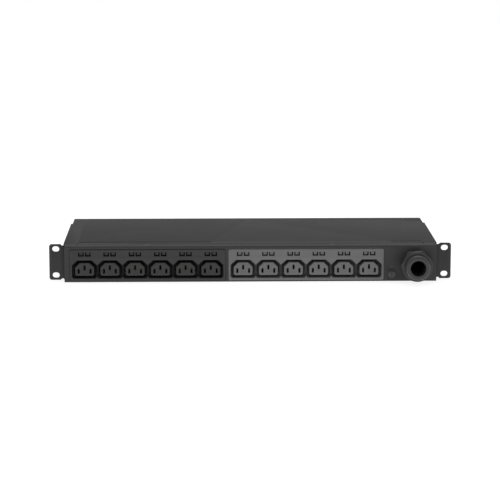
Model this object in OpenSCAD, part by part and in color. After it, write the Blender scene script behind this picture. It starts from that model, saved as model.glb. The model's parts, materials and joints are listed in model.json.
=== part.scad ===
// Rack power strip, one rack unit high: twelve appliance outlets in two banks, a cable gland
// with a screwed dome nut, an earth screw, and L-shaped rack ears set back from the front face.
// Frame: X along the front (right is +X), Y from front to back, Z up. The origin is the centre
// of the four rack slots, on the front plane of the ears.

/* [Chassis] */
// Width of the sheet metal box
body_w = 443; // [442:0.5:445]
// Height of the box and of its ears
body_h = 43.2; // [43:0.1:43.8]
// How far the front face stands in front of the ear plane
nose_d = 16.4; // [16:0.2:20]
// Depth of the box behind the ear plane
rear_d = 177; // [170:1:260]
// Thickness of the box's sheet steel
sheet = 1.2; // [1:0.1:1.4]

/* [Rack ears] */
// Overall width across the ears
overall_w = 481; // [480:0.2:483]
// Distance between the left and right rack slots
rack_hole_w = 465.1; // [464:0.1:466]
// Distance between the upper and lower rack slots
rack_hole_h = 31.75; // [31.5:0.05:32]
// Width of a rack slot from end to end
rack_slot_w = 8.4; // [7:0.1:8.8]
// Height of a rack slot
rack_slot_h = 6.6; // [5.5:0.1:6.8]
// Thickness of the ear steel
ear_t = 2; // [1.6:0.1:2]
// Length of the ear's leg along the side of the box
ear_leg = 141; // [130:1:160]

/* [Outlet banks] */
// Distance from one outlet to the next
pitch = 30; // [30:0.1:30.2]
// Width of a bank's face
bank_w = 184.9; // [184.5:0.1:185.2]
// Height of a bank's face
bank_h = 37.5; // [37:0.1:37.8]
// Centre of the left bank, from the middle of the strip
left_bank_x = -122.5; // [-122.8:0.1:-122.2]
// Centre of the right bank, from the middle of the strip
right_bank_x = 66; // [65.8:0.1:66.4]
// How far the bank faces stand out of the front panel
bezel_proud = 0.4; // [0.2:0.1:1]

/* [Outlets] */
// Width of the socket recess in the bezel
recess_w = 30; // [29.6:0.1:30]
// Height of the socket recess
recess_h = 22.1; // [21.8:0.1:22.4]
// Width of the raised core that carries the pin slots
core_w = 22.4; // [22:0.1:22.8]
// Height of the raised core
core_h = 15.4; // [15:0.1:15.8]
// Width of a pin slot
pin_slot_w = 2.4; // [2.3:0.1:2.8]
// Height of a pin slot
pin_slot_h = 5.6; // [5.2:0.1:5.8]
// Distance between the line and neutral slots
pin_gap = 14; // [13.8:0.1:14.2]

/* [Cable gland] */
// Distance of the gland's axis from the middle of the strip
gland_x = 196.5; // [195:0.5:197]
// Thread diameter of the gland
gland_thread_d = 25; // [24:0.5:25]
// Distance across the flats of the gland's hexagon
gland_hex = 32.5; // [32:0.5:34]
// Turn of the hexagon about its own axis, in degrees
gland_hex_turn = 4; // [0:1:30]
// Largest diameter of the dome nut
dome_d = 35.5; // [34:0.5:36]
// Diameter of the cord opening in the dome nut
dome_hole_d = 18.2; // [17:0.2:19]

/* [Earth screw] */
// Distance of the earth screw from the middle of the strip
earth_x = 168; // [167:0.5:170]
// Height of the earth screw above the middle of the strip
earth_z = -12.6; // [-13:0.2:-10]

/* [Hidden] */
$fn = 64;

// Colours of the finishes
paint = [0.10, 0.10, 0.105];
dark_plastic = [0.11, 0.11, 0.115];
grey_plastic = [0.26, 0.26, 0.26];
black_plastic = [0.05, 0.05, 0.055];
socket_grey = [0.14, 0.14, 0.14];
rubber_black = [0.04, 0.04, 0.04];
brass_colour = [0.72, 0.58, 0.30];
zinc = [0.66, 0.67, 0.69];
dark_zinc = [0.14, 0.14, 0.145];
brown = [0.30, 0.16, 0.08];
blue = [0.10, 0.25, 0.60];
green = [0.15, 0.45, 0.15];
natural_nylon = [0.85, 0.84, 0.78];
clear_film = [0.80, 0.78, 0.65];

// Box
half_w = body_w / 2;
half_h = body_h / 2;
front_y = -nose_d;
panel_back_y = front_y + sheet;
bend_r = 1.4;
cover_gap = 0.8;
inner_w = half_w - sheet;
rear_corner_r = 3;
seam_half_w = 207;
relief_d = 4;
slot_w = 3.4;
slot_y = 12;
left_slot = [-206.5, -46.6];
right_slot = [169, 207];
rear_slot = [201.5, 219.5];
rear_slot_y = 158;
rear_slot_w = 2;
rear_lip = 12;
// Places of the cover screws on top, and the height and depth of the one on each side
top_screws = [[-123.5, -6.5], [97, -6.3], [-207, 172], [0, 172]];
side_screw_y = 160;
screw_head_r = 2.8;
screw_r = 1.5;

// Ears
ear_corner_r = 3;
ear_notch = 1.6;
ear_neck_x = 225.6;
ear_screw_y = [22, 118];
ear_screw_z = [-12, 12];
ear_screw_r = 2;
ear_screw_head_r = 3.9;
nut_r = 3.6;
nut_l = 2.6;

// Banks
outlets = 6;
bank_z = -1.05;
bank_corner_r = 2;
window_side_gap = 0.3;
window_top_gap = 0.9;
bezel_front_y = front_y - bezel_proud;
flange_t = 1.4;
flange_back_y = panel_back_y + flange_t;
divider_y = -4;
cavity_w = 27;
recess_z = -5.95;
recess_chamfer = [6.5, 6];
recess_r = 3;
core_z = -5.9;
core_chamfer = 5.5;
core_r = 2.4;
core_front_y = bezel_front_y + 0.3;
floor_y = 0.9;
floor_t = 2;
power_slot_z = -8;
earth_slot_z = -3.85;
housing_w = 183;
housing_z = [-19.6, 7.7];
cover_y = floor_y + floor_t;
cover_back_y = 16.4;
back_cover_w = 176;
back_cover_z = [-18.5, 7];
wall = 1.5;
// Latch tongues above each outlet
latch_w = 6.7;
latch_h = 4.85;
latch_gap = 1.4;
latch_cut = 1.3;
latch_z = 12.2;

// Contact bars
leaf_t = 0.4;
leaf_gap = 1.4;
leaf_h = 4.8;
leaf_front_y = -4;
bar_t = 0.8;
bar_d = 5;
tail_y = 3.2;
tail_d = 2;
tab_w = 6.3;
tab_end_y = 24.5;
// Each bar: sideways place of its contacts, slot height, bar height, bar front, tab distance
line_bar = [pin_gap / 2, power_slot_z, -12.8, 3.6, 72];
neutral_bar = [-pin_gap / 2, power_slot_z, 2.8, 3.6, 60];
earth_bar = [0, earth_slot_z, -3.8, 8.6, 48];

// Leads: spade terminals at the tabs, and the middle lines of the wires
spade_w = 7.6;
spade_t = 4;
spade_y = [17, 33];
wire_r = 1.6;
wire_sides = 10;
wire_steps = 4;
block_x = 150;
block_y = 89;
block_size = [46, 20, 17];
block_pitch = 14;
pole_z = -12;
sheet_top = -half_h + sheet;
film_t = 0.5;
line_route = [[138, 33.1, -12.8], [138, 38, -12.8], [138, 52, -12.8], [136.3, 68, -12.1],
    [136, 77, -12], [136, 84, -12]];
neutral_route = [[126, 33.1, 2.8], [126, 38, 2.8], [127, 46, 1.5], [136, 58, -5], [148, 69, -11],
    [150, 77, -12], [150, 84, -12]];
earth_route = [[114, 33.1, -3.8], [114, 38, -3.8], [118, 48, 0], [136, 58, 2], [154, 64, -4],
    [163.5, 71, -10.8], [164, 77, -12], [164, 84, -12]];
line_link_route = [[-6, 33.1, -12.8], [-6, 38, -12.8], [-9, 50, -13], [-22, 59, -14], [-38, 58, -14],
    [-48.5, 48, -13], [-50.5, 38, -12.8], [-50.5, 33.1, -12.8]];
neutral_link_route = [[6, 33.1, 2.8], [6, 38, 2.8], [3, 52, 2.8], [-14, 64, 3], [-46, 63, 3],
    [-60, 50, 2.8], [-62.5, 38, 2.8], [-62.5, 33.1, 2.8]];
earth_link_route = [[18, 33.1, -3.8], [18, 38, -3.8], [14, 58, -4], [-6, 76, -4], [-56, 75, -4],
    [-71.5, 55, -4], [-74.5, 38, -3.8], [-74.5, 33.1, -3.8]];
bond_route = [[164, 94, -12], [164, 101, -12], [166, 110, -12.5], [176, 118, -14.2], [188, 117, -15.6],
    [193, 110, -16], [193, 105, -16], [193, 99, -16]];
stud_x = 194;
stud_y = 88;
stud_r = 2.5;

// Gland, measured forwards from the front face
hex_back = 1.5;
hex_front = 14;
hex_chamfer = [2, 1.2];
thread_end = 24;
finger_end = 27.5;
finger_slot = 3.2;
nut_back = 16.2;
nut_front = 34;
nut_inner = 31.3;
front_thread_r = 13.5;
thread_play = 0.05;
finger_r = 12.3;
seal_r = 10.4;
seal_bore_r = 8.5;
body_bore_r = 9.4;
gland_tail = 11;
locknut_t = 5;
locknut_turn = 18;
fingers = 8;
ring_s = [29.7, 31];

// A flat outline in X and Z, made solid from one depth to another
module slab(y0, y1) {
    translate([0, y1, 0]) rotate([90, 0, 0]) linear_extrude(y1 - y0) children();
}

// A flat outline in Y and Z, made solid from one side to another
module rail(x0, x1) {
    translate([x0, 0, 0]) rotate([90, 0, 90]) linear_extrude(x1 - x0) children();
}

// A box from its lowest to its highest corner
module block(low, high) {
    translate(low) cube(high - low);
}

// A round bar along Y
module rod_y(x, z, r, y0, y1) {
    translate([x, y0, z]) rotate([-90, 0, 0]) cylinder(r = r, h = y1 - y0);
}

// A round bar along X
module rod_x(y, z, r, x0, x1) {
    translate([x0, y, z]) rotate([0, 90, 0]) cylinder(r = r, h = x1 - x0);
}

// A ring outline between two radii
module ring(r_out, r_in) {
    difference() {
        circle(r = r_out);
        circle(r = r_in);
    }
}

// A rectangle with round corners, centred
module round_rect(w, h, r) {
    square([w - 2 * r, h], center = true);
    square([w, h - 2 * r], center = true);
    for (x = [-1, 1], y = [-1, 1]) {
        translate([x * (w / 2 - r), y * (h / 2 - r)]) circle(r = r);
    }
}

// Outlet outline: slanted upper corners and round lower corners, centred
module outlet_outline(w, h, cut, r) {
    x = w / 2;
    z = h / 2;
    polygon([
        [-x, z - cut.y], [-x, -z + r], [-x + r, -z + r], [-x + r, -z], [x - r, -z],
        [x - r, -z + r], [x, -z + r], [x, z - cut.y], [x - cut.x, z], [-x + cut.x, z]
    ]);
    for (side = [-1, 1]) {
        translate([side * (x - r), -z + r]) circle(r = r);
    }
}

// Sideways places of a bank's outlets
function outlet_xs(bank_x) = [for (i = [0 : outlets - 1]) bank_x + (i - (outlets - 1) / 2) * pitch];

// The merged socket recesses of one bank
module bank_recess(bank_x, w) {
    for (x = outlet_xs(bank_x)) {
        translate([x, recess_z]) outlet_outline(w, recess_h, recess_chamfer, recess_r);
    }
}

// The three pin slots of every outlet in one bank
module bank_pin_slots(bank_x) {
    for (x = outlet_xs(bank_x)) {
        for (side = [-1, 1]) {
            translate([x + side * pin_gap / 2, power_slot_z])
                square([pin_slot_w, pin_slot_h], center = true);
        }
        translate([x, earth_slot_z]) square([pin_slot_w, pin_slot_h], center = true);
    }
}

// A countersunk screw with a cross recess: its head's face at the origin, its shank downwards
module countersunk(head_r, r, l) {
    head_h = head_r - r;
    cross_w = head_r * 0.3;
    difference() {
        union() {
            translate([0, 0, -head_h]) cylinder(r1 = r, r2 = head_r, h = head_h);
            translate([0, 0, -l]) cylinder(r = r, h = l - head_h / 2);
        }
        for (turn = [0, 90]) {
            rotate(turn) cube([head_r * 1.3, cross_w, head_h], center = true);
        }
    }
}

// The hole that a countersunk screw fills
module countersink(head_r, r, l) {
    translate([0, 0, -(head_r - r)]) cylinder(r1 = r + 0.05, r2 = head_r + 0.05, h = head_r - r + 0.01);
    translate([0, 0, -l]) cylinder(r = r + 0.05, h = l);
}

// Quarter of a bent sheet, about its centre, in the given quadrant
module bend(turn) {
    rotate(turn) intersection() {
        ring(bend_r, bend_r - sheet);
        square(bend_r);
    }
}

// Section of the folded front: bottom lip, face and top lip
module front_section() {
    x = front_y + bend_r;
    z = half_h - bend_r;
    translate([front_y, -z]) square([sheet, 2 * z]);
    translate([x, half_h - sheet]) square([-x, sheet]);
    translate([x, -half_h]) square([-x, sheet]);
    translate([x, z]) bend(90);
    translate([x, -z]) bend(180);
}

// The window that a bank's face fills
module bank_window(bank_x) {
    extra = window_top_gap - window_side_gap;
    translate([bank_x, bank_z + extra / 2])
        round_rect(bank_w + 2 * window_side_gap, bank_h + window_side_gap + window_top_gap,
            bank_corner_r + window_side_gap);
}

// Base: folded front, floor, side upstands and rear wall in one sheet
module base_tray() {
    color(paint) difference() {
        union() {
            rail(-half_w, half_w) front_section();
            for (side = [-1, 1]) {
                block([side > 0 ? inner_w : -half_w, panel_back_y - 0.1, -half_h + sheet / 2],
                    [side > 0 ? half_w : -inner_w, 0, half_h - sheet / 2]);
                block([side > 0 ? inner_w - sheet : -inner_w, -sheet, -half_h],
                    [side > 0 ? inner_w : -inner_w + sheet, rear_d, half_h - 3]);
            }
            block([-inner_w, -0.1, -half_h], [inner_w, rear_d, sheet_top]);
            block([-inner_w, rear_d - sheet, -half_h], [inner_w, rear_d, half_h - sheet]);
            block([-inner_w + sheet, rear_d - rear_lip, half_h - 2 * sheet],
                [inner_w - sheet, rear_d, half_h - sheet]);
        }
        slab(front_y - 1, panel_back_y + 0.5) {
            bank_window(left_bank_x);
            bank_window(right_bank_x);
        }
        rod_y(gland_x, 0, gland_thread_d / 2 + 0.2, front_y - 1, panel_back_y + 1);
        rod_y(earth_x, earth_z, 2.7, front_y - 1, panel_back_y + 1);
        for (p = top_screws) {
            translate([p.x, p.y, half_h]) countersink(screw_head_r, screw_r, 8);
        }
        ear_screw_holes();
        relief_holes();
        for (side = [-1, 1]) {
            translate([side * half_w, side_screw_y, 0]) rotate([0, side * 90, 0])
                countersink(screw_head_r, screw_r, 8);
            translate([block_x + side * block_pitch / 2, block_y, -half_h - 1])
                cylinder(r = screw_r + 0.05, h = 5);
        }
        translate([stud_x, stud_y, -half_h - 1]) cylinder(r = stud_r, h = 3);
    }
}

// Holes for the ear screws through the leg, the cover's side and the tray's upstand
module ear_screw_holes() {
    for (side = [-1, 1], y = ear_screw_y, z = ear_screw_z) {
        translate([side * (half_w + ear_t), y, z]) rotate([0, side * 90, 0])
            countersink(ear_screw_head_r, ear_screw_r, 8);
    }
}

// Relief holes at the two ends of the seam
module relief_holes() {
    for (side = [-1, 1]) {
        translate([side * seam_half_w, relief_d / 4, half_h - 2 * sheet])
            cylinder(d = relief_d, h = 3 * sheet);
    }
}

// A narrow slot in the cover's top
module cover_slot(span, y, w) {
    r = w / 2;
    translate([span[0] + r, y - r, half_h - 2 * sheet]) cube([span[1] - span[0] - w, w, 3 * sheet]);
    for (x = [span[0] + r, span[1] - r]) {
        translate([x, y, half_h - 2 * sheet]) cylinder(r = r, h = 3 * sheet);
    }
}

// Cover: top and both sides, with its front edge notched for the seam
module top_cover() {
    color(paint) difference() {
        union() {
            block([-half_w, 0.1, half_h - sheet], [half_w, rear_d, half_h]);
            for (side = [-1, 1]) {
                block([side > 0 ? inner_w : -half_w, 0.1, -half_h],
                    [side > 0 ? half_w : -inner_w, rear_d, half_h - sheet / 2]);
            }
        }
        block([-seam_half_w, -1, half_h - 2 * sheet], [seam_half_w, cover_gap, half_h + 1]);
        relief_holes();
        cover_slot(left_slot, slot_y, slot_w);
        cover_slot(right_slot, slot_y, slot_w);
        cover_slot(rear_slot, rear_slot_y, rear_slot_w);
        translate([half_w - rear_corner_r, rear_d - rear_corner_r, -half_h - 1])
            difference() {
                cube([rear_corner_r + 1, rear_corner_r + 1, body_h + 2]);
                cylinder(r = rear_corner_r, h = body_h + 2);
            }
        for (p = top_screws) {
            translate([p.x, p.y, half_h]) countersink(screw_head_r, screw_r, 8);
        }
        for (side = [-1, 1]) {
            translate([side * half_w, side_screw_y, 0]) rotate([0, side * 90, 0])
                countersink(screw_head_r, screw_r, 8);
        }
        ear_screw_holes();
    }
}

// Rail behind the seam, which backs the front lip and the cover's front edge
module cover_rail() {
    rail_t = 1.5;
    top = half_h - sheet;
    span = seam_half_w - 1;
    color(zinc) difference() {
        union() {
            block([-span, -12, top - rail_t], [span, 9, top]);
            block([-span, 9 - rail_t, 10], [span, 9, top]);
        }
        for (p = top_screws) {
            translate([p.x, p.y, top - 3]) cylinder(r = screw_r + 0.05, h = 5);
        }
    }
}

// Screws of the cover: four on top and one at each side
module cover_screws() {
    color(dark_zinc) {
        for (p = top_screws) {
            translate([p.x, p.y, half_h]) countersunk(screw_head_r, screw_r, 6);
        }
        for (side = [-1, 1]) {
            translate([side * half_w, side_screw_y, 0]) rotate([0, side * 90, 0])
                countersunk(screw_head_r, screw_r, 6);
        }
    }
}

// Outline of the right ear's front plate, with its neck and its two slots
module ear_outline() {
    half = overall_w / 2;
    cx = half - ear_corner_r;
    cz = half_h - ear_corner_r;
    slot_reach = (rack_slot_w - rack_slot_h) / 2;
    difference() {
        union() {
            polygon([
                [half_w + ear_t, -half_h + ear_notch], [ear_neck_x, -half_h + ear_notch],
                [ear_neck_x + ear_notch, -half_h], [cx, -half_h], [half, -cz],
                [half, cz], [cx, half_h], [ear_neck_x + ear_notch, half_h],
                [ear_neck_x, half_h - ear_notch], [half_w + ear_t, half_h - ear_notch]
            ]);
            for (z = [-cz, cz]) {
                translate([cx, z]) circle(r = ear_corner_r);
            }
        }
        for (z = [-1, 1]) {
            translate([rack_hole_w / 2, z * rack_hole_h / 2]) {
                square([slot_reach * 2, rack_slot_h], center = true);
                for (x = [-slot_reach, slot_reach]) {
                    translate([x, 0]) circle(r = rack_slot_h / 2);
                }
            }
        }
    }
}

// Right ear: front plate, bend and leg
module right_ear_body() {
    leg_start = ear_t + ear_notch;
    neck_h = body_h - 2 * ear_notch;
    difference() {
        union() {
            slab(0, ear_t) ear_outline();
            translate([half_w + ear_t, ear_t, -neck_h / 2]) intersection() {
                cylinder(r = ear_t, h = neck_h);
                translate([-ear_t, -ear_t, 0]) cube([ear_t, ear_t, neck_h]);
            }
            block([half_w, ear_t, -neck_h / 2], [half_w + ear_t, leg_start, neck_h / 2]);
            block([half_w, leg_start, -half_h], [half_w + ear_t, ear_leg, half_h]);
        }
        ear_screw_holes();
    }
}

module right_rack_ear() {
    color(paint) right_ear_body();
}

module left_rack_ear() {
    color(paint) mirror([1, 0, 0]) right_ear_body();
}

// Screws that hold the ears, four at each side
module ear_screws() {
    color(dark_zinc) for (side = [-1, 1], y = ear_screw_y, z = ear_screw_z) {
        translate([side * (half_w + ear_t), y, z]) rotate([0, side * 90, 0])
            countersunk(ear_screw_head_r, ear_screw_r, 7.5);
    }
}

// Clinch nuts behind the ear screws
module ear_clinch_nuts() {
    x = inner_w - sheet - nut_l;
    color(zinc) for (side = [0, 1], y = ear_screw_y, z = ear_screw_z) {
        mirror([side, 0, 0]) difference() {
            rod_x(y, z, nut_r, x, x + nut_l);
            rod_x(y, z, ear_screw_r + 0.05, x - 1, x + nut_l + 1);
        }
    }
}

// Two latch windows above each outlet
module latch_windows(bank_x) {
    for (x = outlet_xs(bank_x), side = [-1, 1]) {
        translate([x + side * (latch_w + latch_gap) / 2, latch_z])
            square([latch_w, latch_h], center = true);
    }
}

// U-shaped cuts that leave a latch tongue behind each window
module latch_cuts(bank_x) {
    difference() {
        latch_windows(bank_x);
        for (x = outlet_xs(bank_x), side = [-1, 1]) {
            translate([x + side * (latch_w + latch_gap) / 2, latch_z + latch_cut])
                square([latch_w - 2 * latch_cut, latch_h], center = true);
        }
    }
}

// Face plate of a bank, with its recesses and latch windows
module bezel(bank_x) {
    slab(bezel_front_y, panel_back_y) difference() {
        translate([bank_x, bank_z]) round_rect(bank_w, bank_h, bank_corner_r);
        bank_recess(bank_x, recess_w);
        latch_windows(bank_x);
    }
}

// Cores of a bank: one separate block for each outlet
module outlet_cores(bank_x) {
    slab(core_front_y, floor_y) difference() {
        for (x = outlet_xs(bank_x)) {
            translate([x, core_z])
                outlet_outline(core_w, core_h, [core_chamfer, core_chamfer], core_r);
        }
        bank_pin_slots(bank_x);
    }
}

// Housing of a bank: flange with latch tongues, and a box of sockets with dividers between them
module housing(bank_x) {
    flange_z = half_h - sheet - 0.2;
    low = [bank_x - housing_w / 2, flange_back_y - 0.1, housing_z[0]];
    high = [bank_x + housing_w / 2, cover_y, housing_z[1]];
    difference() {
        union() {
            slab(panel_back_y, flange_back_y)
                translate([bank_x, 0]) square([bank_w + 3, 2 * flange_z], center = true);
            block(low, high);
        }
        slab(panel_back_y - 1, divider_y) bank_recess(bank_x, recess_w);
        slab(divider_y - 1, floor_y) bank_recess(bank_x, cavity_w);
        slab(floor_y - 1, cover_y + 1) bank_pin_slots(bank_x);
        slab(panel_back_y - 1, flange_back_y + 1) latch_cuts(bank_x);
    }
}

// A flat tab of a contact bar, from the bar back through the rear cover
module bar_tab(x, bar, play) {
    block([x - tab_w / 2 - play, bar[3] + bar_d - 0.5, bar[2] - bar_t / 2 - play],
        [x + tab_w / 2 + play, tab_end_y, bar[2] + bar_t / 2 + play]);
}

// Sideways places of a bar's tabs: one at the right, and one at the left where the bank feeds on
function tab_xs(bank_x, bar, both) = both ? [bank_x - bar[4], bank_x + bar[4]] : [bank_x + bar[4]];

// Rear cover of a bank, which closes the contact chamber
module back_cover(bank_x, both) {
    w = back_cover_w / 2;
    difference() {
        block([bank_x - w, cover_y, back_cover_z[0]], [bank_x + w, cover_back_y, back_cover_z[1]]);
        block([bank_x - w + wall, cover_y - 1, back_cover_z[0] + wall],
            [bank_x + w - wall, cover_back_y - wall, back_cover_z[1] - wall]);
        for (bar = [line_bar, neutral_bar, earth_bar], x = tab_xs(bank_x, bar, both)) {
            bar_tab(x, bar, 0.3);
        }
    }
}

// Contact bar of a bank: a strip, a pair of spring leaves at each outlet, and its tabs
module contact_bar(bank_x, bar, both) {
    xs = outlet_xs(bank_x);
    reach = bar[4] + tab_w / 2;
    half_leaf = leaf_gap / 2 + leaf_t;
    low_z = min(bar[1] - leaf_h / 2, bar[2] - bar_t / 2);
    high_z = max(bar[1] + leaf_h / 2, bar[2] + bar_t / 2);
    first_x = min(xs[0] + bar[0] - 2, bank_x - reach);
    last_x = max(xs[outlets - 1] + bar[0] + 2, bank_x + reach);
    block([first_x, bar[3], bar[2] - bar_t / 2], [last_x, bar[3] + bar_d, bar[2] + bar_t / 2]);
    for (x = xs) {
        middle = x + bar[0];
        block([middle - half_leaf, tail_y, low_z],
            [middle + half_leaf, max(tail_y + tail_d, bar[3] + 0.2), high_z]);
        for (side = [-1, 1]) {
            leaf_x = middle + side * (leaf_gap + leaf_t) / 2;
            block([leaf_x - leaf_t / 2, leaf_front_y, bar[1] - leaf_h / 2],
                [leaf_x + leaf_t / 2, tail_y + 0.1, bar[1] + leaf_h / 2]);
        }
    }
    for (x = tab_xs(bank_x, bar, both)) {
        bar_tab(x, bar, 0);
    }
}

module left_bezel() {
    color(dark_plastic) bezel(left_bank_x);
}

module left_outlet_cores() {
    color(dark_plastic) outlet_cores(left_bank_x);
}

module left_housing() {
    color(black_plastic) housing(left_bank_x);
}

module left_back_cover() {
    color(black_plastic) back_cover(left_bank_x, false);
}

module left_line_bar() {
    color(brass_colour) contact_bar(left_bank_x, line_bar, false);
}

module left_neutral_bar() {
    color(brass_colour) contact_bar(left_bank_x, neutral_bar, false);
}

module left_earth_bar() {
    color(brass_colour) contact_bar(left_bank_x, earth_bar, false);
}

module right_bezel() {
    color(grey_plastic) bezel(right_bank_x);
}

module right_outlet_cores() {
    color(grey_plastic) outlet_cores(right_bank_x);
}

module right_housing() {
    color(socket_grey) housing(right_bank_x);
}

module right_back_cover() {
    color(black_plastic) back_cover(right_bank_x, true);
}

module right_line_bar() {
    color(brass_colour) contact_bar(right_bank_x, line_bar, true);
}

module right_neutral_bar() {
    color(brass_colour) contact_bar(right_bank_x, neutral_bar, true);
}

module right_earth_bar() {
    color(brass_colour) contact_bar(right_bank_x, earth_bar, true);
}

// Insulated spade terminals, one on each tab of the contact bars
module spade_terminals() {
    color(natural_nylon) {
        for (bar = [line_bar, neutral_bar, earth_bar]) {
            for (x = concat(tab_xs(left_bank_x, bar, false), tab_xs(right_bank_x, bar, true))) {
                difference() {
                    block([x - spade_w / 2, spade_y[0], bar[2] - spade_t / 2],
                        [x + spade_w / 2, spade_y[1], bar[2] + spade_t / 2]);
                    bar_tab(x, bar, 0.05);
                }
            }
        }
    }
}

// A point on a smooth curve between b and c, with a and d as the points before and after them
function curve_point(a, b, c, d, t) =
    (2 * b + (c - a) * t + (2 * a - 5 * b + 4 * c - d) * t * t
    + (3 * b - a - 3 * c + d) * t * t * t) / 2;

// The points of a smooth curve through a route
function curve_points(route) = let (last = len(route) - 1) concat(
    [for (i = [0 : last - 1], step = [0 : wire_steps - 1])
        curve_point(route[max(i - 1, 0)], route[i], route[i + 1], route[min(i + 2, last)],
            step / wire_steps)],
    [route[last]]);

// One ring of points round a curve, square to it
function wire_ring(points, i, r) = let (
    ahead = points[min(i + 1, len(points) - 1)] - points[max(i - 1, 0)],
    side = cross(ahead, [0, 0, 1]) / norm(cross(ahead, [0, 0, 1])),
    up = cross(side, ahead) / norm(ahead))
    [for (k = [0 : wire_sides - 1])
        points[i] + r * (cos(k * 360 / wire_sides) * side + sin(k * 360 / wire_sides) * up)];

// A wire swept along a smooth curve through a route
module wire(route, r) {
    points = curve_points(route);
    last = len(points) - 1;
    corners = [for (i = [0 : last]) each wire_ring(points, i, r)];
    walls = [for (i = [0 : last - 1], k = [0 : wire_sides - 1])
        let (a = i * wire_sides + k, b = i * wire_sides + (k + 1) % wire_sides)
        each [[a, b, a + wire_sides], [b, b + wire_sides, a + wire_sides]]];
    ends = [[for (k = [wire_sides - 1 : -1 : 0]) k],
        [for (k = [0 : wire_sides - 1]) last * wire_sides + k]];
    polyhedron(corners, concat(walls, ends));
}

module line_lead() {
    color(brown) wire(line_route, wire_r);
}

module neutral_lead() {
    color(blue) wire(neutral_route, wire_r);
}

module earth_lead() {
    color(green) wire(earth_route, wire_r);
}

module line_link() {
    color(brown) wire(line_link_route, wire_r);
}

module neutral_link() {
    color(blue) wire(neutral_link_route, wire_r);
}

module earth_link() {
    color(green) wire(earth_link_route, wire_r);
}

// Places of the terminal block's three poles
function pole_xs() = [for (i = [-1 : 1]) block_x + i * block_pitch];

// Terminal block: three bores for wires, with screw wells above them
module terminal_block() {
    bottom = sheet_top + film_t;
    top = bottom + block_size.z;
    color(natural_nylon) difference() {
        block([block_x - block_size.x / 2, block_y - block_size.y / 2, bottom],
            [block_x + block_size.x / 2, block_y + block_size.y / 2, top]);
        for (x = pole_xs()) {
            rod_y(x, pole_z, 3.4, block_y - block_size.y, block_y + block_size.y);
            for (side = [-1, 1]) {
                translate([x, block_y + side * 5, pole_z]) cylinder(r = 2.6, h = block_size.z);
            }
        }
        for (side = [-1, 1]) {
            translate([block_x + side * block_pitch / 2, block_y, bottom - 1])
                cylinder(r = screw_r + 0.2, h = block_size.z + 2);
        }
    }
}

// Brass sleeves inside the terminal block
module terminal_sleeves() {
    color(brass_colour) for (x = pole_xs()) {
        difference() {
            rod_y(x, pole_z, 3.4, block_y - 9, block_y + 9);
            rod_y(x, pole_z, 2.3, block_y - 10, block_y + 10);
            for (side = [-1, 1]) {
                translate([x, block_y + side * 5, pole_z]) cylinder(r = screw_r + 0.05, h = 6);
            }
        }
    }
}

// Clamping screws of the terminal block
module terminal_screws() {
    color(zinc) for (x = pole_xs(), side = [-1, 1]) {
        translate([x, block_y + side * 5, 0]) difference() {
            union() {
                translate([0, 0, pole_z + 1.9]) cylinder(r = screw_r, h = 5);
                translate([0, 0, pole_z + 4]) cylinder(r = 2.4, h = 2.4);
            }
            translate([-3, -0.4, pole_z + 5.4]) cube([6, 0.8, 2]);
        }
    }
}

// Screws that fix the terminal block to the floor
module block_screws() {
    bottom = sheet_top + film_t;
    top = bottom + block_size.z;
    color(zinc) for (side = [-1, 1]) {
        translate([block_x + side * block_pitch / 2, block_y, 0]) {
            translate([0, 0, -half_h + 0.1]) cylinder(r = screw_r, h = top + half_h - 0.1);
            translate([0, 0, top]) cylinder(r = screw_head_r, h = 2);
        }
    }
}

// Insulating film between the terminal block and the floor
module insulating_sheet() {
    color(clear_film) difference() {
        block([block_x - 30, block_y - 20, sheet_top], [block_x + 30, block_y + 20, sheet_top + film_t]);
        for (side = [-1, 1]) {
            translate([block_x + side * block_pitch / 2, block_y, sheet_top - 1])
                cylinder(r = screw_r + 0.2, h = 4);
        }
    }
}

// A solid of revolution about the gland's axis; its profile gives radius and distance forwards
module gland_turned() {
    translate([gland_x, front_y, 0]) rotate([90, 0, 0]) rotate_extrude($fn = 96) children();
}

// A hexagonal prism on the gland's axis with its corners turned round
module gland_hexagon(s0, s1, turn) {
    corner_r = gland_hex / 2 / cos(30);
    turned_r = corner_r - 0.5;
    intersection() {
        translate([gland_x, front_y - s0, 0]) rotate([90, 0, 0])
            rotate(turn) cylinder(r = corner_r, h = s1 - s0, $fn = 6);
        gland_turned() {
            polygon([
                [0, s0 - 1], [turned_r, s0 - 1], [turned_r, s1 - hex_chamfer.y],
                [turned_r - hex_chamfer.x, s1], [0, s1]
            ]);
        }
    }
}

// Gland body: thread through the panel, hexagon, front thread and clamping fingers
module gland_body() {
    color(black_plastic) difference() {
        union() {
            gland_hexagon(hex_back, hex_front, gland_hex_turn);
            gland_turned() {
                translate([0, -gland_tail]) square([gland_thread_d / 2, gland_tail + hex_back + 1]);
                translate([0, hex_front - 1]) square([front_thread_r, thread_end - hex_front + 1]);
                translate([0, thread_end - 1]) square([finger_r, finger_end - thread_end + 1]);
            }
        }
        gland_turned() {
            translate([0, -gland_tail - 1]) square([body_bore_r, gland_tail + hex_front + 3]);
            translate([0, hex_front + 1]) square([seal_r, finger_end - hex_front + 1]);
        }
        for (i = [0 : fingers / 2 - 1]) {
            translate([gland_x, front_y - finger_end, 0]) rotate([0, i * 360 / fingers + 11, 0])
                cube([3 * finger_r, 2 * finger_slot, 0.9], center = true);
        }
    }
}

// Flat seal between the gland's hexagon and the panel
module gland_face_seal() {
    color(rubber_black) gland_turned() {
        translate([gland_thread_d / 2 + 0.1, 0]) square([3.2, hex_back]);
    }
}

// Locknut behind the panel
module gland_locknut() {
    color(black_plastic) difference() {
        gland_hexagon(-sheet - locknut_t, -sheet, locknut_turn);
        gland_turned() {
            translate([0, -20]) square([gland_thread_d / 2 + thread_play, 30]);
        }
    }
}

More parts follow.
